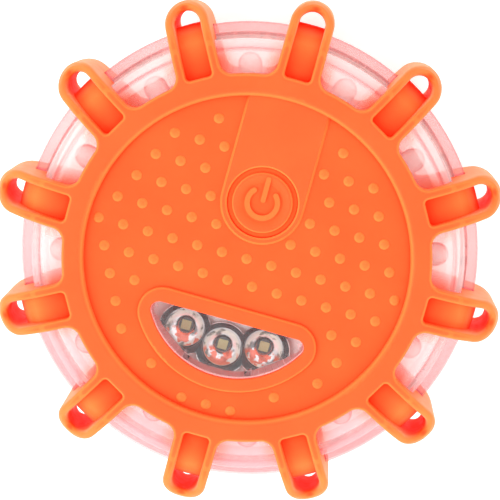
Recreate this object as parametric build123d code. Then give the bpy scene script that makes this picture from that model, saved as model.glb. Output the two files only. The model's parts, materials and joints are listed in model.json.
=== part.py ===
"""Round LED safety flare: a clear two-part lamp body inside an orange rubber sleeve with twelve looped arms.

Row frame, in millimetres: the axis of the disc is Z, the front face with the button looks along +Z,
+Y points from the lamp window to the button, and the flare rests on its rear rubber ring at Z = 0.
"""

from build123d import *
from math import atan2, cos, degrees, hypot, radians, sin, sqrt
import os

# ---- driving dimensions -------------------------------------------------------------------------
HEIGHT = 34.0            # front ring to rear ring
MID = HEIGHT / 2         # parting plane of the two clear shells
ARM_COUNT = 12
ARM_TIP_R = 52.2         # disc centre to the tip of an arm
ARM_WIDTH = 8.8
ARM_ROOT_FILLET = 2.6    # in plan, where an arm leaves the ring
SLOT_WIDTH = 5.3         # pocket in an arm
SLOT_START_R = 36.7
SLOT_END_R = 50.1
SLOT_CORNER_R = 0.8
RING_OUTER_R = 36.6
RING_INNER_R = 32.3
EDGE_ROUND = 0.8         # soft moulded edge of the rubber
ARM_PROFILE_R = MID      # the side view of an arm is a half round
ARM_PROFILE_CENTRE_R = 36.0
DISH_Z = 32.0            # sunk front panel of the rubber
BAND_R = 47.3            # outside of the rubber strap round the clear body
BAND_Z = 31.0
BAND_SHOULDER_R = 37.5   # where the strap starts to round over
BAND_WALL = 1.4          # straight wall of the strap above and below the flanges

SHELL_R = 43.4           # clear body, side wall
SHELL_BORE_R = 41.0
FLANGE_R = 46.4
FLANGE_T = 2.0           # thickness of each flange
SHELL_TOP_Z = 29.8
SHELL_WALL = 2.0
SHELL_SHOULDER = 4.0
SHELL_BOTTOM_Z = HEIGHT - SHELL_TOP_Z
PAD_R = 31.9             # raised centre of the rear shell, inside the rear ring
PAD_Z = 2.6
FIT_GAP = 0.05           # rubber to clear body
MOVING_GAP = 0.3         # round a piece that moves

LATTICE = 5.065          # pitch of the staggered grip bumps
BUMP_R = 1.05
BUMP_H = 0.55
BUMP_CLEARANCE = 0.4     # from the outermost bumps to the ring

WINDOW_CENTRE_Y = -6.35  # centre of the window's round edge
WINDOW_R = 17.95
WINDOW_TOP_Y = -12.7     # straight edge
WINDOW_CORNER_R = 1.8
WINDOW_TOP_Z = 32.3
WINDOW_WALL = 1.4
WINDOW_EDGE_ROUND = 0.5
BEZEL_WIDTH = 2.7
BEZEL_Z = 33.1

BUTTON_Y = 11.6
BUTTON_R = 6.0
BUTTON_TOP_Z = 32.9
BUTTON_HOLE_R = 7.0
BUTTON_FLANGE_R = 7.8
STEM_R = 1.6
TONGUE_HALF = 8.7        # raised tongue that carries the button
TONGUE_SLOPE = 1.3
TONGUE_Z = 32.8
SYMBOL_H = 0.15
SYMBOL_STROKE = 1.05
SYMBOL_R = 3.0

BOARD_R = 33.6
BOARD_TOP_Z = 20.0
BOARD_T = 1.6
LED_Z = BOARD_TOP_Z + 0.25
LED_COUNT = 12
LED_TIP_R = 40.4
LED_BODY_R = 2.4
LED_FLANGE_R = 2.8

LAMP_R = 19.4            # disc centre to each lamp cup
LAMP_ANGLES = (-25.0, 0.0, 25.0)
CUP_R = 5.3
CUP_MOUTH_R = 4.1        # where the bowl meets the sloping rim
CUP_THROAT_R = 1.75
REFLECTOR_Z = (22.6, 27.6)

SWITCH = 6.0
SWITCH_H = 3.5
SWITCH_FLOOR = 1.0       # under the plunger's well
SWITCH_CORNER_R = 0.4
SWITCH_FOOT = (0.5, 0.35, 0.3)  # half length, half width and thickness of each leg
SWITCH_FOOT_Y = 2.25
PLUNGER_LIFT = 1.0       # plunger above the floor of its well
PLUNGER_R = 1.75
PLUNGER_TOP_Z = 25.0

CELL_R = 5.25
CELL_LENGTH = 44.5
CELL_PITCH = 10.8
CELL_Z = 9.75
CELL_END_Y = 24.0        # plus terminal, and the face of each contact plate
HOLDER_HALF = (17.6, 25.8)
HOLDER_WALL = 1.2
HOLDER_Z = (SHELL_BOTTOM_Z + SHELL_WALL, 16.0)

DOOR_HALF = (18.0, 25.5)
DOOR_CORNER_R = 6.0
DOOR_T = 1.6
DOOR_EAR_X = 20.0
DOOR_EAR_R = 2.9
DOOR_GAP = 0.2
BAY_HALF = (16.5, 24.0)   # opening behind the door
BAY_CORNER_R = 4.5

MAGNET_CUP_R = 10.0
MAGNET_FACE_Z = 0.3
MAGNET_CUP_TOP_Z = 3.6

BAIL_X = 25.0
BAIL_Y = 14.0            # hinge axis
BAIL_Z = 1.5
BAIL_R = 30.4            # round end, about the disc centre
BAIL_WIRE_R = 1.0
BAIL_GROOVE_Z = 3.1

CASE_SCREW_R = 37.0
CASE_SCREW_ANGLES = (0, 90, 180, 270)
CASE_BOSS_R = 2.9
SEAL_R = (43.0, 44.4)
SEAL_H = 1.0

CUT = 1.0                # how far a cutting tool runs past the face it opens
SINK = 0.5               # how far an added feature reaches into the wall that carries it

ARM_ANGLES = [360 / ARM_COUNT * k for k in range(ARM_COUNT)]
LED_ANGLES = [360 / LED_COUNT * (k + 0.5) for k in range(LED_COUNT)]

# clear body
BOARD_POSTS = ((24.0, 12.0), (-24.0, 12.0), (0.0, -29.5))
BOARD_POST_R = 2.5
BOARD_PILOT_R = 0.9
PILOT_END = 2.0           # solid plastic left above a blind screw hole
CASE_PILOT_R = 1.1
CASE_CLEAR_R = 1.5
CASE_HEAD_R = 2.3
CASE_HEAD_Z = 8.0
COLLAR_R = (3.0, 4.2)
COLLAR_Z = 25.4
STEM_HOLE_R = 1.9
BAIL_EAR = (21.3, 23.5)   # inner and outer x of each hinge ear
BAIL_EAR_HALF_Y = 2.0
BAIL_EAR_R = 1.9
BAIL_EAR_LIFT = 0.2       # the ears stay clear of the surface below
BAIL_GROOVE_ROOM = 1.4    # from the wire's centre to the side of its recess
BAIL_LEG_ROOM = 17.8      # half length of the recess for each straight leg
BAIL_END_ROOM = 2.2       # recess beyond the hinge axis
BAIL_HOLE_R = BAIL_WIRE_R + 0.06
DOOR_PILOT_R = 1.3
DOOR_PILOT_Z = 9.0
LEDGE_WIDTH = 2.2
LEDGE_Z = SHELL_BOTTOM_Z + SHELL_WALL   # inner face of the rim round the battery opening

# rubber sleeve
BEZEL_CORNER_R = 5.0
BEZEL_TOP_EXTRA = 0.3     # the lip is a little wider above the straight edge
BEZEL_HALF_X = 18.1
BEZEL_ROUND = 0.7
PANEL_ROUND = 1.2         # inner edges of the two rings
BUTTON_POCKET_Z = 31.3    # room for the button's flange under the panel
BUTTON_FLANGE_Z = (30.4, 31.2)

# power button and its switch
BUTTON_EDGE = 0.5
BUTTON_STEP_R = 6.85     # shallow step that closes the groove round the button
BUTTON_STEP_Z = 32.0
BUTTON_HOLE_CHAMFER = 0.35
BUTTON_DISH = 0.4         # depth of the hollow in the button's top
BUTTON_DISH_R = (3.9, 5.3)
SYMBOL_GAP = 47.0         # half angle of the gap in the power sign
SYMBOL_BAR = (0.1, 5.3)   # the bar's ends above the centre
SYMBOL_BAR_WIDTH = 1.0

# lamp
LAMP_PACKAGE_R = 1.5
LAMP_PACKAGE_H = 2.4
PHOSPHOR = 1.95
PHOSPHOR_H = 0.3
CUP_WALL = 0.7
REFLECTOR_INSET = 0.7     # reflector and holder inside the outside of the window
HOLDER_INSET = 0.4
CUP_SEAT_GAP = 0.03
CUP_BULGE = (3.3, 24.3)   # a point on the curved inside of a cup
CUP_RIM_Z = 26.7          # foot of the rim's slope
HOLDER_PLATE_Z = (23.0, 26.2)
HOLDER_PEGS = ((-14.2, -15.6), (14.2, -15.6))
HOLDER_PEG_R = 1.0

# warning LEDs round the rim
LED_LENGTH = 8.6
LED_FLANGE_T = 1.0
LEAD_R = 0.25
LEAD_SPREAD = 1.27
LEAD_INNER_R = 28.8

# board and its small parts
BOARD_NOTCH_HALF = LED_FLANGE_R + 0.2
CHIP_XY = (-11.5, 1.5)
CAP_XY = (12.0, 1.5)
CAP_R = 2.5
CAP_H = 5.0
RESISTOR_R = 25.6
DRIVER_XY = [(-18.0, -3.0), (-18.0, 1.5), (-18.0, 6.0)]

# battery compartment
CELL_X = (-CELL_PITCH, 0.0, CELL_PITCH)
CELL_SIGN = (1, -1, 1)    # which way each plus terminal points along Y
NUB_R = 1.9
NUB_L = 0.8
PLATE_T = HOLDER_HALF[1] - HOLDER_WALL - CELL_END_Y
PLATE_HALF_X = 3.6
PLATE_Z = (6.2, 13.4)
SPRING_R = 2.9
SPRING_WIRE_R = 0.35
HOLDER_ROOF = 0.8
LEAD_WIRE_R = 0.55
LEAD_WIRE_Z = 12.4
LEAD_BEND_R = 1.1
LEAD_RUN_Z = 17.2
LEAD_STANDOFF = 1.2      # lead outside the holder's end wall
HOLDER_PAD_R = 1.6
HOLDER_PADS = ((12.0, 18.0), (-12.0, 14.0), (12.0, -14.0), (-12.0, -18.0))

# battery door, magnet and bail
DOOR_SCREW_HOLE_R = 1.5
DOOR_SINK_Z = 3.4
DOOR_SINK_R = 2.6
DOOR_SEAL_OUT = (17.6, 25.1)
DOOR_SEAL_WIDTH = 0.7
DOOR_SEAL_H = 0.6
DOOR_COLLAR = 1.4
MAGNET_WALL = 1.3
MAGNET_ROOF = 1.0
BAIL_BEND_R = 1.8
BAIL_BLEND_R = 9.0

# screws: head radius, head height, shank radius, length
CASE_SCREW = (2.1, 1.5, 1.05, 15.0)
BOARD_SCREW = (1.7, 1.1, 0.85, 5.5)
DOOR_SCREW = (2.3, 0.8, 1.25, 5.0)
SCREW_TIP = 0.5          # bevel at the end, as a share of the shank's radius
SCREW_HEAD_ROUND = 0.35  # round of the head, as a share of its height
SCREW_CROSS = (1.1, 0.28)  # length and width of the cross recess, as shares of the head's radius


# ---- small helpers ------------------------------------------------------------------------------
def cylinder(radius, z_low, z_high, x=0.0, y=0.0):
    height = z_high - z_low
    return Pos(x, y, z_low) * Cylinder(radius, height, align=(Align.CENTER, Align.CENTER, Align.MIN))


def tube(outer, inner, z_low, z_high, x=0.0, y=0.0):
    return cylinder(outer, z_low, z_high, x, y) - cylinder(inner, z_low - CUT, z_high + CUT, x, y)


def block(half_x, half_y, z_low, z_high, x=0.0, y=0.0, corner=0.0):
    outline = Rectangle(2 * half_x, 2 * half_y)
    if corner:
        outline = fillet(outline.vertices(), corner)
    return Pos(x, y, z_low) * extrude(outline, z_high - z_low)


def slab(sketch, z_low, z_high):
    return Pos(0, 0, z_low) * extrude(sketch, z_high - z_low)


def polar(radius, angle):
    """The point at that radius, at an angle in degrees counted clockwise from +Y seen from the front."""
    return radius * sin(radians(angle)), radius * cos(radians(angle))


def arms(angles):
    """Locations that turn a feature built along +Y to each angle, clockwise seen from the front."""
    return [Rot(0, 0, -angle) for angle in angles]


# ---- clear body ---------------------------------------------------------------------------------
def plug(radius, shoulder, low, top):
    """A disc between two heights with a rounded upper edge."""
    bend = CenterArc((radius - shoulder, top - shoulder, 0), shoulder, 0, 90)
    flat_r = radius - shoulder
    corners = [(flat_r, top, 0), (0, top, 0), (0, low, 0), (radius, low, 0), (radius, top - shoulder, 0)]
    return revolve(Rot(90, 0, 0) * make_face([bend, Polyline(*corners)]), Axis.Z)


def front_envelope(gap=0.0):
    body = plug(SHELL_R + gap, SHELL_SHOULDER + gap, MID, SHELL_TOP_Z + gap)
    return body + cylinder(FLANGE_R + gap, MID, MID + FLANGE_T + gap)


def shell_bore():
    """The hollow of the front shell."""
    return plug(SHELL_BORE_R, SHELL_SHOULDER - SHELL_WALL, MID - CUT, SHELL_TOP_Z - SHELL_WALL)


def flipped(solid):
    """The same shape turned over about the parting plane."""
    return mirror(solid, Plane.XY.offset(MID))


def crescent(radius, top_y, corner):
    """A disc about the window's centre, cut straight along y = top_y, with rounded corners."""
    disc = Pos(0, WINDOW_CENTRE_Y) * Circle(radius)
    keep = Pos(0, top_y - 2 * radius) * Rectangle(4 * radius, 4 * radius)
    return fillet((disc & keep).vertices(), corner)


def window_outline(grow=0.0):
    """Crescent of the lamp window, grown outwards by an offset."""
    return crescent(WINDOW_R + grow, WINDOW_TOP_Y + grow, WINDOW_CORNER_R + grow)


def front_shell():
    shell = front_envelope()
    inner_top = SHELL_TOP_Z - SHELL_WALL
    shell -= shell_bore()
    shell += slab(window_outline(), inner_top, WINDOW_TOP_Z)
    window_edge = shell.edges().filter_by(lambda e: abs(e.center().Z - WINDOW_TOP_Z) < 1e-3)
    shell = fillet(window_edge, WINDOW_EDGE_ROUND)
    shell -= slab(window_outline(-WINDOW_WALL), inner_top - CUT, WINDOW_TOP_Z - WINDOW_WALL)
    for x, y in BOARD_POSTS:
        shell += cylinder(BOARD_POST_R, BOARD_TOP_Z, inner_top + SINK, x, y)
        shell -= cylinder(BOARD_PILOT_R, BOARD_TOP_Z - CUT, inner_top - PILOT_END, x, y)
    for angle in CASE_SCREW_ANGLES:
        x, y = polar(CASE_SCREW_R, angle)
        shell += cylinder(CASE_BOSS_R, MID, inner_top + SINK, x, y)
        shell -= cylinder(CASE_PILOT_R, MID - CUT, inner_top - PILOT_END, x, y)
    shell += cylinder(COLLAR_R[1], COLLAR_Z, inner_top + SINK, 0, BUTTON_Y)
    shell -= cylinder(COLLAR_R[0], COLLAR_Z - CUT, inner_top, 0, BUTTON_Y)
    shell -= cylinder(STEM_HOLE_R, COLLAR_Z - CUT, SHELL_TOP_Z + CUT, 0, BUTTON_Y)
    return shell


def door_outline(grow=0.0):
    plate = Rectangle(2 * (DOOR_HALF[0] + grow), 2 * (DOOR_HALF[1] + grow))
    plate = fillet(plate.vertices(), DOOR_CORNER_R + grow)
    for side in (-1, 1):
        plate += Pos(side * DOOR_EAR_X, 0) * Circle(DOOR_EAR_R + grow)
    return plate


def rear_shell():
    shell = flipped(front_envelope())
    shell += cylinder(PAD_R, PAD_Z, SHELL_BOTTOM_Z + SINK)
    shell -= flipped(shell_bore())
    shell += slab(offset(door_outline(), LEDGE_WIDTH), PAD_Z + SINK, LEDGE_Z) & cylinder(PAD_R, 0, LEDGE_Z)
    shell -= tube(PAD_R + CUT, BAIL_R - BAIL_GROOVE_ROOM, 0, BAIL_GROOVE_Z)
    shell -= slab(door_outline(DOOR_GAP), 0, PAD_Z + DOOR_T)
    shell -= block(*BAY_HALF, 0, LEDGE_Z + CUT, corner=BAY_CORNER_R)
    for side in (-1, 1):
        post = cylinder(DOOR_EAR_R, PAD_Z + DOOR_T, DOOR_PILOT_Z + CUT, side * DOOR_EAR_X)
        shell += post - block(*HOLDER_HALF, *HOLDER_Z)
        shell -= cylinder(DOOR_PILOT_R, 0, DOOR_PILOT_Z, side * DOOR_EAR_X)
        ear_x = side * sum(BAIL_EAR) / 2
        ear_width = BAIL_EAR[1] - BAIL_EAR[0]
        ear = block(ear_width / 2, BAIL_EAR_HALF_Y, BAIL_Z, PAD_Z + SINK, ear_x, BAIL_Y)
        knuckle = Pos(ear_x, BAIL_Y, BAIL_Z) * Rot(0, 90, 0) * Cylinder(BAIL_EAR_R, ear_width)
        ear += knuckle & block(ARM_TIP_R, ARM_TIP_R, BAIL_EAR_LIFT, MID)
        shell += ear
        pivot_hole = Cylinder(BAIL_HOLE_R, 2 * ear_width)
        shell -= Pos(ear_x, BAIL_Y, BAIL_Z) * Rot(0, 90, 0) * pivot_hole
        # room for the bail's straight leg beside the ear
        leg_y = BAIL_Y + BAIL_END_ROOM - BAIL_LEG_ROOM
        shell -= block(BAIL_GROOVE_ROOM, BAIL_LEG_ROOM, 0, BAIL_GROOVE_Z, side * BAIL_X, leg_y)
    for angle in CASE_SCREW_ANGLES:
        x, y = polar(CASE_SCREW_R, angle)
        shell += cylinder(CASE_BOSS_R, SHELL_BOTTOM_Z + SINK, MID, x, y)
        shell -= cylinder(CASE_CLEAR_R, 0, MID + CUT, x, y)
        shell -= cylinder(CASE_HEAD_R, 0, CASE_HEAD_Z, x, y)
    shell -= tube(SEAL_R[1], SEAL_R[0], MID - SEAL_H, MID + CUT)
    shell -= door_seal()
    return shell


def shell_seal():
    return tube(SEAL_R[1], SEAL_R[0], MID - SEAL_H, MID)


def screw(head_r, head_h, shank_r, length):
    """Pan-head screw pointing up, its head's underside at z = 0."""
    head = cylinder(head_r, -head_h, 0)
    head = fillet(head.edges().group_by(Axis.Z)[0], head_h * SCREW_HEAD_ROUND)
    shank = cylinder(shank_r, 0, length)
    shank = chamfer(shank.edges().group_by(Axis.Z)[-1], SCREW_TIP * shank_r)
    long, short = head_r * SCREW_CROSS[0], head_r * SCREW_CROSS[1]
    cross = Box(long, short, head_h) + Box(short, long, head_h)
    return head + shank - Pos(0, 0, -head_h) * cross


def case_screws():
    one = screw(*CASE_SCREW)
    return [Pos(*polar(CASE_SCREW_R, a), CASE_HEAD_Z) * one for a in CASE_SCREW_ANGLES]


def board_screws():
    one = screw(*BOARD_SCREW)
    return [Pos(x, y, BOARD_TOP_Z - BOARD_T) * one for x, y in BOARD_POSTS]


# ---- rubber sleeve ------------------------------------------------------------------------------
def sleeve_plan():
    """Front view of the sleeve: ring disc with twelve round-ended arms and filleted roots."""
    tip = ARM_TIP_R - ARM_WIDTH / 2
    plan = Circle(RING_OUTER_R)
    for turn in arms(ARM_ANGLES):
        plan += turn * (Pos(0, tip / 2) * Rectangle(ARM_WIDTH, tip))
        plan += turn * (Pos(0, tip) * Circle(ARM_WIDTH / 2))
    roots = plan.vertices().filter_by(lambda v: hypot(v.X, v.Y) < RING_OUTER_R + 1)
    return fillet(roots, ARM_ROOT_FILLET)


def slot_plan():
    """One arm's pocket along +Y: round outer end, small corners at the ring."""
    half = SLOT_WIDTH / 2
    straight_end = SLOT_END_R - half
    box = Pos(0, (SLOT_START_R + straight_end) / 2) * Rectangle(SLOT_WIDTH, straight_end - SLOT_START_R)
    low = box.vertices().filter_by(lambda v: v.Y < SLOT_START_R + 1)
    return fillet(low, SLOT_CORNER_R) + Pos(0, straight_end) * Circle(half)


def pill():
    """Solid of revolution whose rim is a half round of the full height."""
    rim = CenterArc((ARM_PROFILE_CENTRE_R, MID, 0), ARM_PROFILE_R, -90, 180)
    corners = [(ARM_PROFILE_CENTRE_R, HEIGHT, 0), (0, HEIGHT, 0), (0, 0, 0), (ARM_PROFILE_CENTRE_R, 0, 0)]
    return revolve(Rot(90, 0, 0) * make_face([rim, Polyline(*corners)]), Axis.Z)


def band():
    """The strap under the pockets: hugs the clear body with a smooth round shoulder."""
    low = HEIGHT - BAND_Z
    start_r = BAND_SHOULDER_R
    reach = BAND_R - start_r
    drop = BAND_Z - (MID + FLANGE_T + BAND_WALL)
    top = EllipticalCenterArc((start_r, BAND_Z - drop, 0), reach, drop, 0, arc_size=90)
    bottom = EllipticalCenterArc((start_r, low + drop, 0), reach, drop, -90, arc_size=90)
    sides = Polyline((start_r, BAND_Z, 0), (0, BAND_Z, 0), (0, low, 0), (start_r, low, 0))
    wall = Line((BAND_R, low + drop, 0), (BAND_R, BAND_Z - drop, 0))
    return revolve(Rot(90, 0, 0) * make_face([top, wall, bottom, sides]), Axis.Z)


def on_pill(edge):
    """True for an edge on the skin of the pill, apart from the skin's own seams."""
    points = [edge.position_at(u) for u in (0.1, 0.5, 0.9)]
    depths = []
    for p in points:
        reach = hypot(p.X, p.Y)
        if reach <= ARM_PROFILE_CENTRE_R:
            depths.append(min(abs(p.Z - HEIGHT), abs(p.Z)))
        else:
            depths.append(abs(hypot(reach - ARM_PROFILE_CENTRE_R, p.Z - MID) - ARM_PROFILE_R))
    seam = all(abs(hypot(p.X, p.Y) - ARM_PROFILE_CENTRE_R) < 1e-3 for p in points)
    return max(depths) < 1e-3 and not seam


def tongue():
    """Smooth raised strip from the ring down round the button, with sloping sides."""
    reach = RING_INNER_R + 1 - BUTTON_Y
    outline = Pos(0, BUTTON_Y) * Circle(TONGUE_HALF)
    outline += Pos(0, BUTTON_Y + reach / 2) * Rectangle(2 * TONGUE_HALF, reach)
    rise = TONGUE_Z - DISH_Z
    raised = slab(outline, DISH_Z - CUT, TONGUE_Z)
    top_edges = raised.edges().filter_by(lambda e: abs(e.center().Z - TONGUE_Z) < 1e-3)
    rim = top_edges.filter_by(lambda e: e.center().Y < RING_INNER_R)
    raised = chamfer(rim, rise * 0.98, TONGUE_SLOPE, reference=raised.faces().sort_by(Axis.Z)[-1])
    return raised & cylinder(RING_INNER_R + SINK, 0, HEIGHT)


def bezel():
    """Raised lip round the lamp window."""
    outline = crescent(WINDOW_R + BEZEL_WIDTH, WINDOW_TOP_Y + BEZEL_WIDTH + BEZEL_TOP_EXTRA, BEZEL_CORNER_R)
    lip = slab(outline, DISH_Z - CUT, BEZEL_Z)
    return fillet(lip.edges().filter_by(lambda e: abs(e.center().Z - BEZEL_Z) < 1e-3), BEZEL_ROUND)


def bump_centres():
    """Staggered lattice of grip bumps, clear of the ring, the tongue and the bezel."""
    count = int(RING_INNER_R / LATTICE) + 1
    centres = []
    for row in range(-count, count + 1):
        for column in range(-count, count + 1):
            x = (column + (row % 2) / 2) * LATTICE
            y = row * LATTICE
            on_ring = hypot(x, y) > RING_INNER_R - BUMP_R - BUMP_CLEARANCE
            on_tongue = hypot(x, min(y - BUTTON_Y, 0)) < TONGUE_HALF + BUMP_R
            round_bezel = hypot(x, y - WINDOW_CENTRE_Y) < WINDOW_R + BEZEL_WIDTH + BUMP_R
            below_edge = y < WINDOW_TOP_Y + BEZEL_WIDTH + BUMP_R
            on_bezel = round_bezel and below_edge and abs(x) < BEZEL_HALF_X + BUMP_R
            if not (on_ring or on_tongue or on_bezel):
                centres.append((x, y))
    return centres


def rubber_sleeve():
    plan = sleeve_plan()
    pockets = [turn * slot_plan() for turn in arms(ARM_ANGLES)]
    walls = slab(plan - pockets, 0, HEIGHT) & pill()
    walls = fillet([e for e in walls.edges() if on_pill(e)], EDGE_ROUND)
    sleeve = walls + (slab(plan, 0, HEIGHT) & band())
    sleeve -= front_envelope(FIT_GAP) + flipped(front_envelope(FIT_GAP))
    sleeve -= cylinder(RING_INNER_R, DISH_Z, HEIGHT + CUT)
    sleeve -= cylinder(RING_INNER_R, -CUT, SHELL_BOTTOM_Z + CUT)
    inner_rims = sleeve.edges().filter_by(
        lambda e: min(abs(e.center().Z), abs(e.center().Z - HEIGHT)) < 1e-3
        and abs(hypot(e.position_at(0).X, e.position_at(0).Y) - RING_INNER_R) < 1e-3)
    sleeve = fillet(inner_rims, PANEL_ROUND)
    sleeve += tongue()
    sleeve += bezel()
    dome_r = (BUMP_R ** 2 + BUMP_H ** 2) / (2 * BUMP_H)
    dome_z = DISH_Z + BUMP_H - dome_r
    sleeve += [Pos(x, y, dome_z) * Sphere(dome_r) for x, y in bump_centres()]
    sleeve -= slab(window_outline(FIT_GAP), SHELL_TOP_Z - CUT, HEIGHT)
    sleeve -= cylinder(BUTTON_HOLE_R, SHELL_TOP_Z - CUT, HEIGHT, 0, BUTTON_Y)
    mouth = Cone(BUTTON_HOLE_R, BUTTON_HOLE_R + 2 * BUTTON_HOLE_CHAMFER, 2 * BUTTON_HOLE_CHAMFER)
    sleeve -= Pos(0, BUTTON_Y, TONGUE_Z) * mouth
    sleeve -= cylinder(BUTTON_FLANGE_R + MOVING_GAP, SHELL_TOP_Z - CUT, BUTTON_POCKET_Z, 0, BUTTON_Y)
    return sleeve


# ---- power button and its switch ------------------------------------------------------------------


def power_sign():
    """Round-ended broken ring with a bar through its gap."""
    half = SYMBOL_STROKE / 2
    ring = Circle(SYMBOL_R + half) - Circle(SYMBOL_R - half)
    side = 2 * SYMBOL_R * sin(radians(SYMBOL_GAP))
    top = 2 * SYMBOL_R * cos(radians(SYMBOL_GAP))
    gap = Polyline((0, 0), (side, top), (side, 2 * top), (-side, 2 * top), (-side, top), close=True)
    sign = ring - make_face(gap)
    for x in (-side / 2, side / 2):
        sign += Pos(x, top / 2) * Circle(half)
    bar_low, bar_high = SYMBOL_BAR
    bar = Rectangle(SYMBOL_BAR_WIDTH, bar_high - bar_low)
    return sign + Pos(0, (bar_low + bar_high) / 2) * fillet(bar.vertices(), SYMBOL_BAR_WIDTH * 0.45)


def power_button():
    """Dished cap with a flange below the rubber panel and a stem that reaches the switch."""
    rim = BUTTON_TOP_Z
    flange_low, flange_high = BUTTON_FLANGE_Z
    floor = rim - BUTTON_DISH
    profile = [(BUTTON_DISH_R[0], floor), (BUTTON_DISH_R[1], rim), (BUTTON_R, rim), (BUTTON_R, BUTTON_STEP_Z),
               (BUTTON_STEP_R, BUTTON_STEP_Z), (BUTTON_STEP_R, flange_high), (BUTTON_FLANGE_R, flange_high),
               (BUTTON_FLANGE_R, flange_low), (STEM_R, flange_low), (STEM_R, PLUNGER_TOP_Z),
               (0, PLUNGER_TOP_Z), (0, floor)]
    side = Polyline(*[(r, z, 0) for r, z in profile], close=True)
    cap = revolve(Rot(90, 0, 0) * make_face(side), Axis.Z)
    outer_rim = cap.edges().filter_by(GeomType.CIRCLE).filter_by(lambda e: abs(e.radius - BUTTON_R) < 1e-3)
    cap = fillet(outer_rim.group_by(Axis.Z)[-1], BUTTON_EDGE)
    cap += slab(power_sign(), rim - 1.0, rim + SYMBOL_H)
    return Pos(0, BUTTON_Y) * cap


def switch_body():
    half = SWITCH / 2
    foot_x, foot_y, foot_t = SWITCH_FOOT
    body = block(half, half, BOARD_TOP_Z, BOARD_TOP_Z + SWITCH_H, corner=SWITCH_CORNER_R)
    body -= cylinder(PLUNGER_R + FIT_GAP, BOARD_TOP_Z + SWITCH_FLOOR, BOARD_TOP_Z + SWITCH_H + CUT)
    for x in (-1, 1):
        for y in (-1, 1):
            place = x * (half + 0.8 * foot_x), y * SWITCH_FOOT_Y
            body += block(foot_x, foot_y, BOARD_TOP_Z, BOARD_TOP_Z + foot_t, *place)
    return Pos(0, BUTTON_Y) * body


def switch_plunger():
    plunger = cylinder(PLUNGER_R, BOARD_TOP_Z + SWITCH_FLOOR + PLUNGER_LIFT, PLUNGER_TOP_Z)
    return Pos(0, BUTTON_Y) * chamfer(plunger.edges().group_by(Axis.Z)[-1], 0.2)


# ---- lamp -----------------------------------------------------------------------------------------
LAMP_XY = [polar(LAMP_R, 180 + angle) for angle in LAMP_ANGLES]


def cup_skin(grow=0.0, overrun=0.0):
    """Solid that fills one cup: a bowl with a sloping rim, its wall moved outwards by grow."""
    throat, mouth = CUP_THROAT_R + grow, CUP_MOUTH_R + grow
    low, high = REFLECTOR_Z
    wall = ThreePointArc((throat, low, 0), (CUP_BULGE[0] + grow, CUP_BULGE[1], 0), (mouth, CUP_RIM_Z, 0))
    slope = (CUP_R - CUP_MOUTH_R) / (high - CUP_RIM_Z)
    rim_r = mouth + slope * (high + overrun - CUP_RIM_Z)
    top, bottom = high + overrun, low - overrun
    corners = [(mouth, CUP_RIM_Z, 0), (rim_r, top, 0), (0, top, 0), (0, bottom, 0)]
    if overrun:
        corners.append((throat, bottom, 0))
    corners.append((throat, low, 0))
    return revolve(Rot(90, 0, 0) * make_face([wall, Polyline(*corners)]), Axis.Z)


def lamp_reflector():
    body = Pos(*LAMP_XY[1]) * (cup_skin(CUP_WALL) & cylinder(CUP_R, *REFLECTOR_Z))
    for x, y in (LAMP_XY[0], LAMP_XY[2]):
        body += Pos(x, y) * (cup_skin(CUP_WALL) & cylinder(CUP_R, *REFLECTOR_Z))
    body &= slab(window_outline(-REFLECTOR_INSET), 0, HEIGHT)
    for x, y in LAMP_XY:
        body -= Pos(x, y) * cup_skin(overrun=CUT)
    return body


def reflector_holder():
    plate = slab(window_outline(-HOLDER_INSET), *HOLDER_PLATE_Z)
    for x, y in HOLDER_PEGS:
        plate += cylinder(HOLDER_PEG_R, BOARD_TOP_Z, HOLDER_PLATE_Z[1], x, y)
    for x, y in LAMP_XY:
        plate -= Pos(x, y) * cup_skin(CUP_WALL + CUP_SEAT_GAP, overrun=CUT)
    return plate


def lamp_packages():
    one = cylinder(LAMP_PACKAGE_R, BOARD_TOP_Z, BOARD_TOP_Z + LAMP_PACKAGE_H)
    return [Pos(x, y) * one for x, y in LAMP_XY]


def lamp_phosphors():
    top = BOARD_TOP_Z + LAMP_PACKAGE_H
    half = PHOSPHOR / 2
    one = block(half, half, top, top + PHOSPHOR_H, corner=0.2)
    return [Pos(x, y) * one for x, y in LAMP_XY]


# ---- warning LEDs round the rim ---------------------------------------------------------------------


def warning_leds():
    """Round lens bodies lying along +Y before they are turned to their places."""
    back = LED_TIP_R - LED_LENGTH
    outline = Polyline((0, back), (LED_FLANGE_R, back), (LED_FLANGE_R, back + LED_FLANGE_T),
                       (LED_BODY_R, back + LED_FLANGE_T), (LED_BODY_R, LED_TIP_R - LED_BODY_R))
    dome = CenterArc((0, LED_TIP_R - LED_BODY_R), LED_BODY_R, 0, 90)
    axis_line = Line((0, LED_TIP_R), (0, back))
    one = revolve(make_face([outline, dome, axis_line]), Axis.Y)
    return [turn * (Pos(0, 0, LED_Z) * one) for turn in arms(LED_ANGLES)]


def warning_led_leads():
    back = LED_TIP_R - LED_LENGTH
    length = back - LEAD_INNER_R
    wires = []
    for turn in arms(LED_ANGLES):
        for side in (-1, 1):
            place = Pos(side * LEAD_SPREAD, LEAD_INNER_R + length / 2, LED_Z) * Rot(90, 0, 0)
            wires.append(turn * (place * Cylinder(LEAD_R, length)))
    return wires


# ---- board and its small parts ----------------------------------------------------------------------


def main_board():
    board = cylinder(BOARD_R, BOARD_TOP_Z - BOARD_T, BOARD_TOP_Z)
    notch_start = LED_TIP_R - LED_LENGTH - MOVING_GAP
    for turn in arms(LED_ANGLES):
        board -= turn * block(BOARD_NOTCH_HALF, 3, 0, HEIGHT, 0, notch_start + 3)
    for x, y in BOARD_POSTS:
        board -= cylinder(CASE_PILOT_R, 0, HEIGHT, x, y)
    return board


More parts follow.
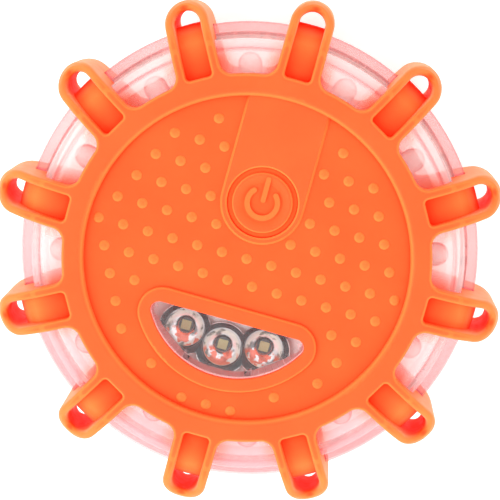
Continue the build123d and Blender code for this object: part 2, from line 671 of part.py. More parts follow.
def chip(half_x, half_y, height, pins, pitch):
    """Small chip on the board with flat gull leads along both long sides."""
    body = block(half_x, half_y, BOARD_TOP_Z + 0.1, BOARD_TOP_Z + height)
    for side in (-1, 1):
        for k in range(pins):
            x = (k - (pins - 1) / 2) * pitch
            body += block(0.2, 0.55, BOARD_TOP_Z, BOARD_TOP_Z + 0.35, x, side * (half_y + 0.4))
    return body


def controller_chip():
    return Pos(*CHIP_XY) * chip(2.45, 1.95, 1.5, 4, 1.27)


def driver_transistors():
    return [Pos(x, y) * chip(1.45, 0.65, 1.0, 2, 1.9) for x, y in DRIVER_XY]


def chip_resistors():
    one = Pos(0, RESISTOR_R) * block(0.62, 1.0, BOARD_TOP_Z, BOARD_TOP_Z + 0.5)
    return [turn * one for turn in arms(LED_ANGLES)]


def capacitor():
    can = cylinder(CAP_R, BOARD_TOP_Z, BOARD_TOP_Z + CAP_H, *CAP_XY)
    return fillet(can.edges().group_by(Axis.Z)[-1], 0.4)


# ---- battery compartment ----------------------------------------------------------------------------


def battery_holder():
    half_x, half_y = HOLDER_HALF
    z_low, z_high = HOLDER_Z
    box = block(half_x, half_y, z_low, z_high, corner=HOLDER_WALL + HOLDER_ROOF)
    inner_x, inner_y = half_x - HOLDER_WALL, half_y - HOLDER_WALL
    box -= block(inner_x, inner_y, z_low - CUT, z_high - HOLDER_ROOF, corner=HOLDER_ROOF)
    for x, y in HOLDER_PADS:
        box += cylinder(HOLDER_PAD_R, z_high - HOLDER_ROOF / 2, BOARD_TOP_Z - BOARD_T, x, y)
    for x, side in ((CELL_X[0], 1), (CELL_X[2], -1)):
        hole = Rot(90, 0, 0) * Cylinder(LEAD_WIRE_R + 0.05, 2 * HOLDER_WALL + 1)
        box -= Pos(x, side * half_y, LEAD_WIRE_Z) * hole
    return box


def battery_cells():
    cells = []
    for x, sign in zip(CELL_X, CELL_SIGN):
        can = cylinder(CELL_R, 0, CELL_LENGTH - NUB_L)
        can = fillet(can.edges().filter_by(GeomType.CIRCLE), 0.4)
        can += cylinder(NUB_R, 0, CELL_LENGTH)
        cells.append(Pos(x, sign * (CELL_END_Y - CELL_LENGTH), CELL_Z) * Rot(-90 * sign, 0, 0) * can)
    return cells


def contact_plates():
    """Two single plates for the leads and two that bridge neighbouring cells."""
    z_mid = sum(PLATE_Z) / 2
    height = PLATE_Z[1] - PLATE_Z[0]
    spans = ((CELL_X[0], CELL_X[0], 1), (CELL_X[1], CELL_X[2], 1),
             (CELL_X[0], CELL_X[1], -1), (CELL_X[2], CELL_X[2], -1))
    plates = []
    for start, end, side in spans:
        width = end - start + 2 * PLATE_HALF_X
        y = side * (CELL_END_Y + PLATE_T / 2)
        plates.append(Pos((start + end) / 2, y, z_mid) * Box(width, PLATE_T, height))
    return plates


def contact_springs():
    """A short coil presses on the flat end of each cell."""
    gap = 2 * CELL_END_Y - CELL_LENGTH
    height = gap - 2 * SPRING_WIRE_R - 0.04
    coils = []
    for x, sign in zip(CELL_X, CELL_SIGN):
        path = Helix(pitch=height / 3, height=height, radius=SPRING_R)
        section = Plane(origin=path @ 0, z_dir=path % 0) * Circle(SPRING_WIRE_R)
        coil = sweep(section, path)
        base = -sign * (CELL_END_Y - SPRING_WIRE_R - 0.02)
        coils.append(Pos(x, base, CELL_Z) * Rot(-90 * sign, 0, 0) * coil)
    return coils


def battery_lead(x, side):
    """Insulated wire from an end plate, over the holder and up to the board."""
    wall = HOLDER_HALF[1] - HOLDER_WALL
    outer = HOLDER_HALF[1] + LEAD_STANDOFF
    route = [(x, side * wall, LEAD_WIRE_Z), (x, side * outer, LEAD_WIRE_Z), (x, side * outer, LEAD_RUN_Z),
             (x, side * (wall - 4), LEAD_RUN_Z), (x, side * (wall - 4), BOARD_TOP_Z - BOARD_T)]
    path = FilletPolyline(*route, radius=[LEAD_BEND_R] * 3)
    section = Plane(origin=path @ 0, z_dir=path % 0) * Circle(LEAD_WIRE_R)
    return sweep(section, path)


# ---- battery door, magnet and bail --------------------------------------------------------------------


def battery_door():
    door = slab(door_outline(), PAD_Z, PAD_Z + DOOR_T)
    rim = door.edges().group_by(Axis.Z)[0]
    door = fillet(rim, 0.4)
    collar = cylinder(MAGNET_CUP_R + DOOR_COLLAR, MAGNET_FACE_Z + 0.7, PAD_Z + 0.5)
    door += fillet(collar.edges().group_by(Axis.Z)[0], 0.6)
    door -= cylinder(MAGNET_CUP_R, 0, MAGNET_CUP_TOP_Z)
    for side in (-1, 1):
        door -= cylinder(DOOR_SCREW_HOLE_R, 0, HEIGHT, side * DOOR_EAR_X)
        door -= cylinder(DOOR_SINK_R, 0, DOOR_SINK_Z, side * DOOR_EAR_X)
    return door


def door_seal():
    out_x, out_y = DOOR_SEAL_OUT
    inner = DOOR_SEAL_WIDTH
    z = PAD_Z + DOOR_T
    corner_r = DOOR_CORNER_R - (DOOR_HALF[0] - out_x)
    outer_loop = block(out_x, out_y, z, z + DOOR_SEAL_H, corner=corner_r)
    return outer_loop - block(out_x - inner, out_y - inner, z - 1, z + 2, corner=corner_r - inner)


def door_screws():
    one = screw(*DOOR_SCREW)
    return [Pos(side * DOOR_EAR_X, 0, DOOR_SINK_Z) * one for side in (-1, 1)]


def magnet_cup():
    cup = cylinder(MAGNET_CUP_R, MAGNET_FACE_Z, MAGNET_CUP_TOP_Z)
    cup -= cylinder(MAGNET_CUP_R - MAGNET_WALL, 0, MAGNET_CUP_TOP_Z - MAGNET_ROOF)
    return chamfer(cup.edges().group_by(Axis.Z)[0].sort_by(SortBy.LENGTH)[-1], 0.3)


def magnet():
    disc = cylinder(MAGNET_CUP_R - MAGNET_WALL - 0.3, MAGNET_FACE_Z, MAGNET_CUP_TOP_Z - MAGNET_ROOF)
    return chamfer(disc.edges().group_by(Axis.Z)[0], 0.25)


def hanging_bail():
    """Wire loop: two pivot ends, two straight legs and a round end about the disc's centre."""
    pivot_x = BAIL_EAR[0] - SINK
    bend = BAIL_BEND_R
    blend = BAIL_BLEND_R
    # centre of the arc that joins a straight leg to the round end
    blend_x = BAIL_X - blend
    blend_y = -sqrt((BAIL_R - blend) ** 2 - blend_x ** 2)
    turn = degrees(atan2(-blend_y, blend_x))
    pieces = [CenterArc((0, 0), BAIL_R, 180 + turn, 180 - 2 * turn)]
    for side in (-1, 1):
        start = 0 if side > 0 else 180
        pieces.append(Line((side * pivot_x, BAIL_Y), (side * (BAIL_X - bend), BAIL_Y)))
        pieces.append(CenterArc((side * (BAIL_X - bend), BAIL_Y - bend), bend, start, side * 90))
        pieces.append(Line((side * BAIL_X, BAIL_Y - bend), (side * BAIL_X, blend_y)))
        pieces.append(CenterArc((side * blend_x, blend_y), blend, start, -side * turn))
    path = Pos(0, 0, BAIL_Z) * Wire([piece.edge() for piece in pieces])
    start = Vector(-pivot_x, BAIL_Y, BAIL_Z)
    section = Plane(origin=start, z_dir=(1, 0, 0)) * Circle(BAIL_WIRE_R)
    return sweep(section, path)


# ---- write every piece ------------------------------------------------------------------------------
PIECES = {
    "rubber_sleeve": rubber_sleeve,
    "power_button": power_button,
    "front_shell": front_shell,
    "rear_shell": rear_shell,
    "shell_seal": shell_seal,
    "case_screws": case_screws,
    "lamp_reflector": lamp_reflector,
    "reflector_holder": reflector_holder,
    "lamp_packages": lamp_packages,
    "lamp_phosphors": lamp_phosphors,
    "warning_leds": warning_leds,
    "warning_led_leads": warning_led_leads,
    "main_board": main_board,
    "board_screws": board_screws,
    "switch_body": switch_body,
    "switch_plunger": switch_plunger,
    "controller_chip": controller_chip,
    "driver_transistors": driver_transistors,
    "chip_resistors": chip_resistors,
    "capacitor": capacitor,
    "battery_holder": battery_holder,
    "battery_cells": battery_cells,
    "contact_plates": contact_plates,
    "contact_springs": contact_springs,
    "battery_lead_red": lambda: battery_lead(CELL_X[0], 1),
    "battery_lead_black": lambda: battery_lead(CELL_X[2], -1),
    "battery_door": battery_door,
    "door_seal": door_seal,
    "door_screws": door_screws,
    "magnet_cup": magnet_cup,
    "magnet": magnet,
    "hanging_bail": hanging_bail,
}


def main():
    os.makedirs("parts", exist_ok=True)
    for name, make in PIECES.items():
        made = make()
        if isinstance(made, list):
            made = Compound(made)
        export_step(made, "parts/" + name + ".step")


if __name__ == "__main__":
    main()
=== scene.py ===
"""Studio picture of the LED safety flare: a finish for each CAD piece, a pale floor, light and the camera."""

import json
from math import pi, radians

import bpy
from mathutils import Matrix, Vector


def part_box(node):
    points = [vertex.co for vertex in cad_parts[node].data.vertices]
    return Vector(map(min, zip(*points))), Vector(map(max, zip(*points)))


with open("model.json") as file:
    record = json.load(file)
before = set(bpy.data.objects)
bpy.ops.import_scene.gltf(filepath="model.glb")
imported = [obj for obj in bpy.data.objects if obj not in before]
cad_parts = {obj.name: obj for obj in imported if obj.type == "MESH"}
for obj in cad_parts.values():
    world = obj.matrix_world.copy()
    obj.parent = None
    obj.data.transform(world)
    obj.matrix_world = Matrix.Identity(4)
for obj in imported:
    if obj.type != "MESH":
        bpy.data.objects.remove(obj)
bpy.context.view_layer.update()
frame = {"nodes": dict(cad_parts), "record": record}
nodes = frame["nodes"]
scene = bpy.context.scene
MM = 0.001

# ---- camera: nearly straight above the front face, turned so that the button leans to the right ----
AIM = Vector((0.17, 1.87, 32.0)) * MM
CAMERA_DISTANCE = 455.8 * MM
CAMERA_TILT = radians(7.4)
CAMERA_TURN = radians(15.67)
SENSOR = 36.0
LENS = 166.15

# ---- light and floor ----
WHITE = (1.0, 1.0, 1.0, 1.0)
WORLD_STRENGTH = 1.0
# name, place and side in metres, and power in watts of each soft box
SOFT_BOXES = [("key", (-0.55, -0.35, 0.75), 0.7, 6.0), ("fill", (0.6, -0.5, 0.6), 0.8, 3.0)]
FLOOR_HALF = 3.0
FLOOR_DROP = 0.02 * MM      # keeps the floor clear of the flare's rear face
FLOOR_DIM = 0.88
FLOOR_BRIGHT = 0.92
FLOOR_LIFT = 0.45           # emission that keeps the paper white next to the flare

# ---- where the looks change over the flare ----
PANEL_Z = 32.0 * MM         # the sunk panel of the front face
RING_RISE = 2.0             # mm from the sunk panel to the front ring
ARM_STEP = 2 * pi / 12
ARM_HALF_WIDTH = 4.4 * MM
SIDE_START_R = 41.0 * MM    # painted light: the arms' outer sides grow paler between these two
SIDE_END_R = 46.0 * MM
COVER_R = 35.0 * MM         # the rubber hides everything inside this radius
CLEAR_INNER_R = 36.5 * MM
CLEAR_OUTER_R = 46.4 * MM
GLOW_WIDTH = 2.8 * MM       # reach of the painted reflection of the rubber sideways from an arm
GLOW_START_R = 39.5 * MM    # it fades between these two
GLOW_END_R = 43.0 * MM
DEEP_START_Y = 5.0 * MM     # painted shade: the clear ring grows deeper from here to the lamp's side
DEEP_END_Y = -35.0 * MM
WINDOW_REACH = 30.0 * MM    # the front shell inside this radius is the lamp window
WINDOW_MIDDLE = Vector((0.0, -18.5)) * MM
WINDOW_FLATNESS = 0.7       # outward faces steeper than this are the window's side wall
HOLLOW_REACH = 5.0 * MM     # how far a corner looks for what closes it in
HOLLOW_RAYS = 8

# ---- rubber ----
# rubber colours: the groove and low colours are painted shade, the bump colour a painted highlight
ORANGE_GROOVE_SHADE = (0.62, 0.105, 0.022)
ORANGE_LOW_SHADE = (1.0, 0.102, 0.025)
ORANGE = (1.0, 0.110, 0.029)
ORANGE_BUMP_HIGHLIGHT = (1.0, 0.170, 0.040)
ORANGE_RING = (1.0, 0.113, 0.030)
# paler orange: a faint random mottle, and the painted highlight on the lips
ORANGE_MOTTLE_AND_HIGHLIGHT = (1.0, 0.25, 0.06)
# painted light on the arms' outer sides
SIDE_PAINTED_LIGHT = (1.0, 0.42, 0.22)
# painted shade: deeper red in the pockets and corners
POCKET_PAINTED_SHADE = (1.0, 0.030, 0.004)
RUBBER_PAINTED_GLOW = (1.0, 0.02, 0.0, 1.0)    # painted glow: faint red light from the rubber, though it is no lamp
RUBBER_GLOW = (1.0, 0.22, 0.03)         # painted reflection of the rubber, laid on what stands next to an arm
# colour by height in mm above the sunk panel: darker low down and in the button's groove as painted shade,
# paler on the bumps and the button's sign as painted highlight
SLEEVE_HEIGHTS = [
    (0.06, ORANGE_LOW_SHADE), (0.28, ORANGE_BUMP_HIGHLIGHT), (0.58, ORANGE_BUMP_HIGHLIGHT),
    (0.74, ORANGE), (1.6, ORANGE), (1.94, ORANGE_RING),
]
BUTTON_HEIGHTS = [
    (0.1, ORANGE_GROOVE_SHADE), (0.35, ORANGE_LOW_SHADE), (0.6, ORANGE_LOW_SHADE),
    (0.88, ORANGE), (0.94, ORANGE), (1.0, ORANGE_BUMP_HIGHLIGHT),
]
# painted highlight on the rounded lips, from walls to level faces
LIP_HIGHLIGHT_SLOPES = [(0.3, 0.75), (0.75, 1.0), (0.98, 0.0)]

# ---- clear parts ----
CLEAR_WHITE = (1.0, 0.93, 0.93)
CLEAR_PINK = (1.0, 0.50, 0.52)
CLEAR_LINE = (0.75, 0.16, 0.20)
# painted shade for the lamp's side of the ring
CLEAR_SHADE = (0.85, 0.45, 0.50)
CLEAR_DEEP = (0.75, 0.12, 0.18)
CLEAR_EDGE = (0.30, 0.06, 0.10)
CLEAR_PAINTED_GLOW = (1.0, 0.66, 0.62, 1.0)
# colour of the ring from its inner radius, 0, to its outer one, 1: painted light, with white bands for
# highlights, pink for the orange rubber seen through it and dark lines for refraction at its edges
CLEAR_BANDS = [
    (0.0, CLEAR_WHITE), (0.42, CLEAR_WHITE), (0.47, CLEAR_PINK), (0.50, CLEAR_LINE), (0.54, CLEAR_WHITE),
    (0.72, CLEAR_WHITE), (0.76, CLEAR_LINE), (0.80, CLEAR_PINK), (0.94, CLEAR_PINK), (0.99, CLEAR_LINE),
]
# stretch, on the same scale, over which the flange begins, and the rim of the flange
FLANGE_STEP = (0.74, 0.78)
RIM_STEP = (0.955, 0.975)
WINDOW_WARM = (1.0, 0.94, 0.92)
WINDOW_CLEAR = (1.0, 0.98, 0.97)
FROST_WARM = (1.0, 0.90, 0.87)
FROST_CLEAR = (1.0, 0.97, 0.96)
FROST_PAINTED_GLOW = (1.0, 0.88, 0.86, 1.0)
# colour of an LED's resin, from its walls to its level top: the deep red on the steep walls is a painted
# refraction outline
RESIN_SLOPES = [(0.38, (0.85, 0.10, 0.11)), (0.58, (1.0, 0.60, 0.57)), (0.85, (1.0, 0.95, 0.94))]

# ---- lamp cups ----
CUP_BRIGHT = (0.88, 0.88, 0.89)
CUP_DARK = (0.035, 0.035, 0.042)
CUP_ORANGE = (0.80, 0.13, 0.06)
# painted reflections on the plating: dark and bright bands from the reflector's foot, 0, to its top face, 1
CUP_REFLECTION_BANDS = [
    (0.0, CUP_DARK), (0.02, CUP_DARK), (0.07, CUP_BRIGHT), (0.56, CUP_BRIGHT),
    (0.62, CUP_DARK), (0.97, CUP_DARK), (1.0, CUP_BRIGHT),
]

# ---- plain metals and plastics: shares of their own colour and roughness ----
METAL_SHADE = 0.86
METAL_SHEEN = 0.75
METAL_DULL = 1.35
PLASTIC_SHADE = 0.9
PLASTIC_SHEEN = 0.85
PLASTIC_DULL = 1.15
MOULD_GRAIN = 0.015         # mm, height of the grain on moulded plastic


def add_camera():
    data = bpy.data.cameras.new("camera")
    data.sensor_width = SENSOR
    data.lens = LENS
    camera = bpy.data.objects.new("camera", data)
    turn = Matrix.Rotation(-CAMERA_TILT, 4, "X") @ Matrix.Rotation(CAMERA_TURN, 4, "Z")
    camera.matrix_world = Matrix.Translation(AIM) @ turn @ Matrix.Translation((0, 0, CAMERA_DISTANCE))
    scene.collection.objects.link(camera)
    scene.camera = camera


def add_world():
    """White surroundings, shown without a filmic curve."""
    scene.view_settings.view_transform = "Standard"
    scene.view_settings.look = "None"
    world = bpy.data.worlds.new("studio")
    world.use_nodes = True
    background = world.node_tree.nodes["Background"]
    background.inputs["Color"].default_value = WHITE
    background.inputs["Strength"].default_value = WORLD_STRENGTH
    scene.world = world


def soft_box(name, place, side, power):
    """A square area light that looks at the flare."""
    data = bpy.data.lights.new(name, "AREA")
    data.shape = "SQUARE"
    data.size = side
    data.energy = power
    light = bpy.data.objects.new(name, data)
    light.location = place
    light.rotation_euler = (AIM - Vector(place)).to_track_quat("-Z", "Y").to_euler()
    scene.collection.objects.link(light)


def add_floor():
    mesh = bpy.data.meshes.new("floor")
    corners = [(x * FLOOR_HALF, y * FLOOR_HALF, 0) for x, y in ((-1, -1), (1, -1), (1, 1), (-1, 1))]
    mesh.from_pydata(corners, [], [(0, 1, 2, 3)])
    floor = bpy.data.objects.new("floor", mesh)
    floor.location.z = -FLOOR_DROP
    scene.collection.objects.link(floor)
    return floor


class Finish:
    """A principled material with helpers for the few procedural patterns used below."""

    def __init__(self, name):
        self.material = bpy.data.materials.new(name)
        self.material.use_nodes = True
        self.tree = self.material.node_tree
        self.shader = self.tree.nodes["Principled BSDF"]
        self.coords = self.tree.nodes.new("ShaderNodeTexCoord").outputs["Object"]

    def put(self, **values):
        """Plain values for the shader's inputs, with _ for each space in an input's name."""
        for name, value in values.items():
            self.shader.inputs[name.replace("_", " ")].default_value = value

    def feed(self, name, source):
        """Drives one of the shader's inputs from a node."""
        self.tree.links.new(source, self.shader.inputs[name])

    def noise(self, per_mm, detail=4.0):
        """Noise whose features are about 1 / per_mm millimetres across."""
        node = self.tree.nodes.new("ShaderNodeTexNoise")
        node.inputs["Scale"].default_value = per_mm / MM
        node.inputs["Detail"].default_value = detail
        self.tree.links.new(self.coords, node.inputs["Vector"])
        return node.outputs["Fac"]

    def ramp(self, source, stops):
        """Colour ramp over (position, colour) stops; a colour is one number or three."""
        node = self.tree.nodes.new("ShaderNodeValToRGB")
        for index, (place, color) in enumerate(stops):
            if index > 1:
                node.color_ramp.elements.new(place)
            element = node.color_ramp.elements[index]
            element.position = place
            element.color = (*color, 1.0) if isinstance(color, tuple) else (color, color, color, 1.0)
        self.tree.links.new(source, node.inputs["Fac"])
        return node.outputs["Color"]

    def mottle(self, noise, low, high, softness=0.2):
        """From low to high over the middle of a noise; softness is half of that stretch."""
        return self.ramp(noise, [(0.5 - softness, low), (0.5 + softness, high)])

    def mix(self, below, above, mask, strength=1.0):
        """Colour "above" laid over "below" where the mask is white, at most to that strength."""
        node = self.tree.nodes.new("ShaderNodeMix")
        node.data_type = "RGBA"
        self.tree.links.new(self.math("MULTIPLY", mask, strength), node.inputs["Factor"])
        for side, color in (("A", below), ("B", above)):
            socket = next(s for s in node.inputs if s.name == side and s.type == "RGBA")
            if isinstance(color, tuple):
                socket.default_value = (*color, 1.0)
            else:
                self.tree.links.new(color, socket)
        return next(s for s in node.outputs if s.type == "RGBA")

    def math(self, operation, first, second=0.0):
        """A Math node over numbers or sockets."""
        node = self.tree.nodes.new("ShaderNodeMath")
        node.operation = operation
        for socket, value in zip(node.inputs, (first, second)):
            if isinstance(value, float):
                socket.default_value = value
            else:
                self.tree.links.new(value, socket)
        return node.outputs[0]

    def spread(self, source, start, full):
        """0 where the source is at start, 1 where it is at full, straight between."""
        node = self.tree.nodes.new("ShaderNodeMapRange")
        node.inputs["From Min"].default_value = start
        node.inputs["From Max"].default_value = full
        self.tree.links.new(source, node.inputs["Value"])
        return node.outputs["Result"]

    def axes(self, source):
        node = self.tree.nodes.new("ShaderNodeSeparateXYZ")
        self.tree.links.new(source, node.inputs["Vector"])
        return node.outputs

    def place(self):
        return self.axes(self.coords)

    def normal(self):
        return self.axes(self.tree.nodes.new("ShaderNodeNewGeometry").outputs["Normal"])

    def level(self):
        """1 on level faces, 0 on upright walls."""
        return self.math("ABSOLUTE", self.normal()["Z"])

    def disc_radius(self):
        """Distance from the disc's axis."""
        place = self.place()
        squares = [self.math("MULTIPLY", place[axis], place[axis]) for axis in "XY"]
        return self.math("SQRT", self.math("ADD", *squares))

    def hollow(self, closed, open_sky):
        """Mask for pockets and corners, from how much of its surroundings a point sees."""
        node = self.tree.nodes.new("ShaderNodeAmbientOcclusion")
        node.samples = HOLLOW_RAYS
        node.inputs["Distance"].default_value = HOLLOW_REACH
        return self.ramp(node.outputs["AO"], [(closed, 1.0), (open_sky, 0.0)])

    def beside_arms(self):
        """Mask for the stretch next to each arm's root, where the rubber's colour is painted on as a
        reflection.
        """
        place = self.place()
        turns = self.math("DIVIDE", self.math("ARCTAN2", place["Y"], place["X"]), ARM_STEP)
        off_centre = self.math("ABSOLUTE", self.math("SUBTRACT", turns, self.math("ROUND", turns)))
        reach = self.disc_radius()
        sideways = self.math("MULTIPLY", self.math("MULTIPLY", off_centre, ARM_STEP), reach)
        near = self.spread(sideways, ARM_HALF_WIDTH + GLOW_WIDTH, ARM_HALF_WIDTH)
        uncovered = self.math("MULTIPLY", near, self.spread(reach, COVER_R, CLEAR_INNER_R))
        return self.math("MULTIPLY", uncovered, self.spread(reach, GLOW_END_R, GLOW_START_R))

    def rough(self, noise, low, high):
        self.feed("Roughness", self.mottle(noise, low, high, softness=0.15))

    def bump(self, noise, height_mm, strength):
        node = self.tree.nodes.new("ShaderNodeBump")
        node.inputs["Distance"].default_value = height_mm * MM
        node.inputs["Strength"].default_value = strength
        self.tree.links.new(noise, node.inputs["Height"])
        self.feed("Normal", node.outputs["Normal"])


def moulded_rubber(name, heights, hollow_shade_strength):
    """Satin rubber with painted light: paler on bumps, lips and the arms' outer sides as painted highlight,
    redder in its hollows as painted shade, with a painted glow.
    """
    finish = Finish(name)
    above_panel = finish.spread(finish.place()["Z"], PANEL_Z, PANEL_Z + RING_RISE * MM)
    level = finish.level()
    outside = finish.spread(finish.disc_radius(), SIDE_START_R, SIDE_END_R)
    outer_walls = finish.math("MULTIPLY", outside, finish.spread(level, start=0.6, full=0.2))
    flow = finish.mottle(finish.noise(per_mm=0.09, detail=5.0), 0.0, 1.0, softness=0.15)
    # painted shade low down and painted highlight on the bumps, by height above the panel
    base = finish.ramp(above_panel, [(mm / RING_RISE, color) for mm, color in heights])
    base = finish.mix(base, ORANGE_MOTTLE_AND_HIGHLIGHT, flow, strength=0.08)
    # painted highlight on the rounded lips
    base = finish.mix(base, ORANGE_MOTTLE_AND_HIGHLIGHT, finish.ramp(level, LIP_HIGHLIGHT_SLOPES), strength=0.8)
    # painted light on the arms' outer sides
    base = finish.mix(base, SIDE_PAINTED_LIGHT, outer_walls, strength=0.7)
    # painted shade: deeper red in the hollows
    base = finish.mix(base, POCKET_PAINTED_SHADE, finish.hollow(closed=0.2, open_sky=0.72), hollow_shade_strength)
    finish.feed("Base Color", base)
    finish.rough(finish.noise(per_mm=0.6), low=0.45, high=0.6)
    finish.bump(finish.noise(per_mm=5.0, detail=3.0), height_mm=0.02, strength=0.5)
    finish.put(Subsurface_Weight=0.12, Subsurface_Radius=(1.0, 0.3, 0.1), Subsurface_Scale=1.0 * MM)
    # painted glow: the rubber gives off faint red light
    finish.put(Specular_IOR_Level=0.05, Emission_Color=RUBBER_PAINTED_GLOW, Emission_Strength=0.22)
    return finish.material


def clear_plastic(name):
    """Polished clear ring with painted light: pink flange, near-white wall, painted shade deeper on the
    lamp's side, painted reflection of orange by the arms.
    """
    finish = Finish(name)
    across = finish.spread(finish.disc_radius(), CLEAR_INNER_R, CLEAR_OUTER_R)
    lamp_side = finish.spread(finish.place()["Y"], DEEP_START_Y, DEEP_END_Y)
    flange = finish.math("MULTIPLY", lamp_side, finish.spread(across, *FLANGE_STEP))
    rim = finish.math("MULTIPLY", lamp_side, finish.spread(across, *RIM_STEP))
    # painted highlight, reflection and refraction bands across the ring, with painted shade towards the
    # lamp's side
    base = finish.mix(finish.ramp(across, CLEAR_BANDS), CLEAR_SHADE, lamp_side, strength=0.85)
    # painted shade on the flange and its rim, deeper on the lamp's side
    base = finish.mix(base, CLEAR_DEEP, flange, strength=0.95)
    base = finish.mix(base, CLEAR_EDGE, rim, strength=0.95)
    # painted reflection of the orange rubber beside the arms
    base = finish.mix(base, RUBBER_GLOW, finish.beside_arms())
    finish.feed("Base Color", base)
    finish.rough(finish.noise(per_mm=0.25), low=0.02, high=0.06)
    finish.bump(finish.noise(per_mm=0.12, detail=2.0), height_mm=0.03, strength=0.25)
    finish.put(Alpha=0.30, Specular_IOR_Level=0.3)
    # painted glow: the clear ring gives off faint pink light
    finish.put(Emission_Color=CLEAR_PAINTED_GLOW, Emission_Strength=0.12)
    return finish.material


def clear_window(name):
    """The thin window over the lamp, clear enough to show the plated cups."""
    finish = Finish(name)
    finish.feed("Base Color", finish.mottle(finish.noise(per_mm=0.2), WINDOW_WARM, WINDOW_CLEAR))
    finish.rough(finish.noise(per_mm=0.3), low=0.02, high=0.05)
    finish.bump(finish.noise(per_mm=0.15, detail=2.0), height_mm=0.01, strength=0.2)
    finish.put(Alpha=0.03, Specular_IOR_Level=0.12)
    return finish.material


def frosted_edge(name):
    """The window's own side wall, frosted and given a painted glow, which reads as a pale line around the
    window.
    """
    finish = Finish(name)
    finish.feed("Base Color", finish.mottle(finish.noise(per_mm=0.3), FROST_WARM, FROST_CLEAR))
    finish.rough(finish.noise(per_mm=0.8), low=0.25, high=0.4)
    finish.bump(finish.noise(per_mm=1.0, detail=2.0), height_mm=0.01, strength=0.2)
    finish.put(Alpha=0.65, Specular_IOR_Level=0.3)
    # painted glow that brightens the side wall
    finish.put(Emission_Color=FROST_PAINTED_GLOW, Emission_Strength=0.2)
    return finish.material


def led_epoxy(name):
    """Pink tinted lens resin: pale from above, with a painted refraction outline deeper on its steep sides.
    """
    finish = Finish(name)
    finish.feed("Base Color", finish.ramp(finish.level(), RESIN_SLOPES))
    finish.rough(finish.noise(per_mm=0.8), low=0.03, high=0.12)
    finish.bump(finish.noise(per_mm=0.5, detail=2.0), height_mm=0.02, strength=0.2)
    finish.put(Alpha=0.85, Specular_IOR_Level=0.6)
    return finish.material


def metal(name, color, roughness):
    """Worked metal with a fine grain in its gloss and a faint darker mottle."""
    finish = Finish(name)
    dark = tuple(channel * METAL_SHADE for channel in color)
    finish.feed("Base Color", finish.mottle(finish.noise(per_mm=0.3), dark, color))
    grain = finish.noise(per_mm=1.2, detail=5.0)
    finish.rough(grain, low=roughness * METAL_SHEEN, high=roughness * METAL_DULL)
    finish.bump(grain, height_mm=0.004, strength=0.4)
    finish.put(Metallic=1.0)
    return finish.material


def reflector_plating(name):
    """Vacuum-plated cups with painted reflections: dark throat and rim, bright bowl with torn orange
    reflections low down, and a painted glint.
    """
    finish = Finish(name)
    low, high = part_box("lamp_reflector")
    rise = finish.spread(finish.place()["Z"], low[2], high[2])
    lower_side = finish.spread(finish.normal()["Y"], start=0.15, full=0.35)
    torn = finish.spread(finish.noise(per_mm=0.55, detail=5.0), start=0.44, full=0.48)
    below_rim = finish.spread(rise, start=0.60, full=0.54)
    patches = finish.math("MULTIPLY", finish.math("MULTIPLY", lower_side, torn), below_rim)
    # painted reflection: dark streaks across the bright bands
    streaks = finish.spread(finish.noise(per_mm=0.4, detail=3.0), start=0.52, full=0.60)
    base = finish.mix(finish.ramp(rise, CUP_REFLECTION_BANDS), CUP_DARK, streaks, strength=0.75)
    base = finish.mix(base, CUP_ORANGE, patches, strength=0.9)
    finish.feed("Base Color", base)
    # painted glint: the plating gives off light in its own colours
    finish.feed("Emission Color", base)
    finish.rough(finish.noise(per_mm=1.5), low=0.10, high=0.16)
    finish.bump(finish.noise(per_mm=0.8, detail=3.0), height_mm=0.01, strength=0.3)
    finish.put(Metallic=0.6, Emission_Strength=0.22)
    return finish.material


def plastic(name, color, roughness, grain_mm=MOULD_GRAIN, glow=0.0):
    """Moulded plastic with a faint mottle; glow is how much painted reflection of the rubber's colour it
    takes by the arms.
    """
    finish = Finish(name)
    dark = tuple(channel * PLASTIC_SHADE for channel in color)
    base = finish.mottle(finish.noise(per_mm=0.15), dark, color, softness=0.15)
    if glow:
        # painted reflection of the orange rubber beside the arms
        base = finish.mix(base, RUBBER_GLOW, finish.beside_arms(), glow)
    finish.feed("Base Color", base)
    finish.rough(finish.noise(per_mm=0.8), low=roughness * PLASTIC_SHEEN, high=roughness * PLASTIC_DULL)
    finish.bump(finish.noise(per_mm=4.0, detail=3.0), grain_mm, strength=0.5)
    return finish.material


def pale_paper(name):
    finish = Finish(name)
    finish.feed("Base Color", finish.mottle(finish.noise(per_mm=0.02, detail=2.0), FLOOR_DIM, FLOOR_BRIGHT))
    finish.put(Roughness=0.8, Emission_Color=WHITE, Emission_Strength=FLOOR_LIFT)
    return finish.material


def glaze_window(shell):
    """Gives the lamp window and its outer side wall, both part of the front shell, their own finishes."""
    shell.materials.append(clear_window("clear_window"))
    shell.materials.append(frosted_edge("frosted_edge"))
    window, side_wall = 1, 2
    for face in shell.polygons:
        if face.center.xy.length < WINDOW_REACH:
            outward = face.normal.xy.dot(face.center.xy - WINDOW_MIDDLE) > 0
            steep = abs(face.normal.z) < WINDOW_FLATNESS
            face.material_index = side_wall if outward and steep else window


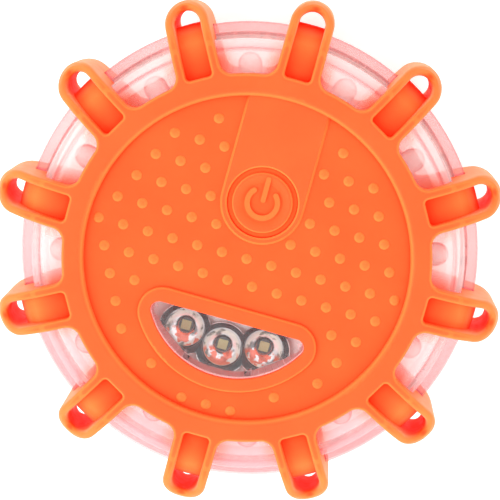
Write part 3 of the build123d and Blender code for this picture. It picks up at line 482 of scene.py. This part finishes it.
# each material slot's function, and the values that it takes after the name
FINISHES = {
    "orange_rubber": (moulded_rubber, {"heights": SLEEVE_HEIGHTS, "hollow_shade_strength": 0.85}),
    "orange_rubber_button": (moulded_rubber, {"heights": BUTTON_HEIGHTS, "hollow_shade_strength": 0.1}),
    "clear_plastic": (clear_plastic, {}),
    "silicone": (plastic, {"color": (0.98, 0.80, 0.78), "roughness": 0.35, "glow": 0.8}),
    "steel": (metal, {"color": (0.62, 0.62, 0.63), "roughness": 0.28}),
    "chrome_plating": (reflector_plating, {}),
    "white_plastic": (plastic, {"color": (0.82, 0.82, 0.81), "roughness": 0.45}),
    "led_ceramic": (plastic, {"color": (0.10, 0.10, 0.11), "roughness": 0.5}),
    "led_phosphor": (plastic, {"color": (0.50, 0.44, 0.22), "roughness": 0.45}),
    "led_epoxy": (led_epoxy, {}),
    "tinned_wire": (metal, {"color": (0.66, 0.66, 0.65), "roughness": 0.25}),
    # the board's pale pink is painted bounce light from the orange rubber on white solder mask
    "circuit_board": (
        plastic, {"color": (0.98, 0.86, 0.84), "roughness": 0.3, "grain_mm": 0.01, "glow": 0.9},
    ),
    "black_plastic": (plastic, {"color": (0.02, 0.02, 0.022), "roughness": 0.45}),
    "can_aluminium": (metal, {"color": (0.75, 0.75, 0.77), "roughness": 0.3}),
    "cell_jacket": (plastic, {"color": (0.05, 0.07, 0.11), "roughness": 0.2, "grain_mm": 0.004}),
    "nickel": (metal, {"color": (0.62, 0.60, 0.56), "roughness": 0.18}),
    "magnet_nickel": (metal, {"color": (0.56, 0.56, 0.57), "roughness": 0.26}),
    "red_insulation": (plastic, {"color": (0.5, 0.01, 0.01), "roughness": 0.4}),
    "black_insulation": (plastic, {"color": (0.015, 0.015, 0.015), "roughness": 0.4}),
    "bail_wire": (metal, {"color": (0.66, 0.66, 0.67), "roughness": 0.2}),
}

add_camera()
add_world()
for name, place, side, power in SOFT_BOXES:
    soft_box(name, place, side, power)
floor = add_floor()

finishes = {slot: make(slot, **values) for slot, (make, values) in FINISHES.items()}
for part in frame["record"]["subparts"]:
    materials = nodes[part["node"]].data.materials
    materials.clear()
    materials.append(finishes[part["material_slot"]])
glaze_window(nodes["front_shell"].data)
floor.data.materials.append(pale_paper("floor"))
